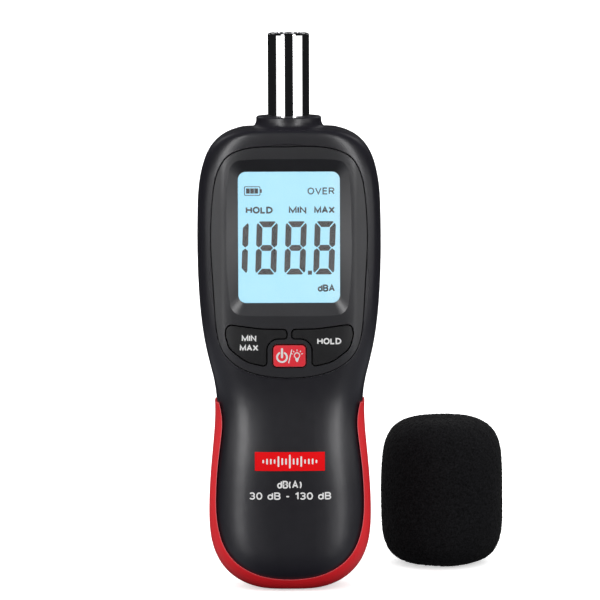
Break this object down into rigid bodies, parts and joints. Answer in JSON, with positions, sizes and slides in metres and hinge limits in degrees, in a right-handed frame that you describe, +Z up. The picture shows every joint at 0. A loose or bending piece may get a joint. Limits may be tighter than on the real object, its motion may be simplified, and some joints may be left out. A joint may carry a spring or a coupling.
{
  "type": "sound level meter",
  "caption": "Handheld sound level meter: waisted case with a half-inch microphone, lit display, three keys, rubber side grip, rear battery door and a loose foam windscreen.",
  "frame": {"origin": "centre of the small flat at the bottom of the rubber grip, on which the meter stands upright", "axes": "+Z up along the microphone, -Y out of the display, +X to the right of a person facing the display"},
  "size_m": [0.0959, 0.0744, 0.1709],
  "materials": {
    "case_plastic": "satin black ABS",
    "bezel_plastic": "finely textured dark grey",
    "grip_rubber": "soft red",
    "window_plastic": "clear acrylic",
    "display_glass": "pale blue lit liquid crystal",
    "light_guide": "clear acrylic",
    "frame_plastic": "black",
    "soft_rubber": "matte",
    "board_green": "solder mask",
    "chip_black": "moulded epoxy",
    "key_plastic": "satin black",
    "power_key_plastic": "satin red",
    "plunger_plastic": "black",
    "mic_chrome": "polished",
    "mic_metal": "satin",
    "screw_steel": "zinc plated",
    "contact_brass": "bright",
    "cell_jacket": "plain printed sleeve",
    "wire_grey": "matte",
    "wire_red": "matte",
    "wire_black": "matte",
    "pad_foam": "foam",
    "label_film": "blank silver film",
    "windscreen_foam": "open-cell foam"
  },
  "bodies": {
    "housing": {"front_shell": "case_plastic", "back_shell": "case_plastic", "front_bezel": "bezel_plastic", "side_grip": "grip_rubber", "display_lens": "window_plastic", "lcd_cell": "display_glass", "backlight_guide": "light_guide", "backlight_led": "light_guide", "lcd_frame": "frame_plastic", "battery_tray": "frame_plastic", "mic_sleeve": "frame_plastic", "zebra_strip": "soft_rubber", "neck_grommet": "soft_rubber", "main_pcb": "board_green", "microcontroller": "chip_black", "amplifier_chip": "chip_black", "board_capacitors": "chip_black", "key_switches": "chip_black", "mic_barrel": "mic_chrome", "mic_grid": "mic_metal", "mic_capsule": "mic_metal", "case_screws": "screw_steel", "pcb_screws": "screw_steel", "battery_springs": "screw_steel", "battery_plates": "contact_brass", "aaa_cell_left": "cell_jacket", "aaa_cell_middle": "cell_jacket", "aaa_cell_right": "cell_jacket", "mic_lead": "wire_grey", "positive_lead": "wire_red", "negative_lead": "wire_black", "rating_label": "label_film"},
    "min_max_button": {"min_max_key": "key_plastic", "min_max_plunger": "plunger_plastic"},
    "hold_button": {"hold_key": "key_plastic", "hold_plunger": "plunger_plastic"},
    "power_button": {"power_key": "power_key_plastic", "power_plunger": "plunger_plastic"},
    "battery_door": {"battery_door": "case_plastic", "door_pad": "pad_foam"},
    "windscreen": {"windscreen": "windscreen_foam"}
  },
  "joints": [
    {"name": "min_max_press", "type": "slide", "parent": "housing", "child": "min_max_button", "axis": [0, 1, 0], "range_m": [0, 0.0004], "stiffness_N_per_m": 800, "springref_m": -0.0006},
    {"name": "hold_press", "type": "slide", "parent": "housing", "child": "hold_button", "axis": [0, 1, 0], "range_m": [0, 0.0004], "stiffness_N_per_m": 800, "springref_m": -0.0006},
    {"name": "power_press", "type": "slide", "parent": "housing", "child": "power_button", "axis": [0, 1, 0], "range_m": [0, 0.0004], "stiffness_N_per_m": 800, "springref_m": -0.0006},
    {"name": "door_swing", "type": "hinge", "parent": "housing", "child": "battery_door", "pos_m": [0, 0.0138, 0.0096], "axis": [-1, 0, 0], "range_deg": [0, 60]},
    {"name": "windscreen_lift", "type": "slide", "parent": "housing", "child": "windscreen", "axis": [0, 0, 1], "range_m": [0, 0.09]}
  ]
}
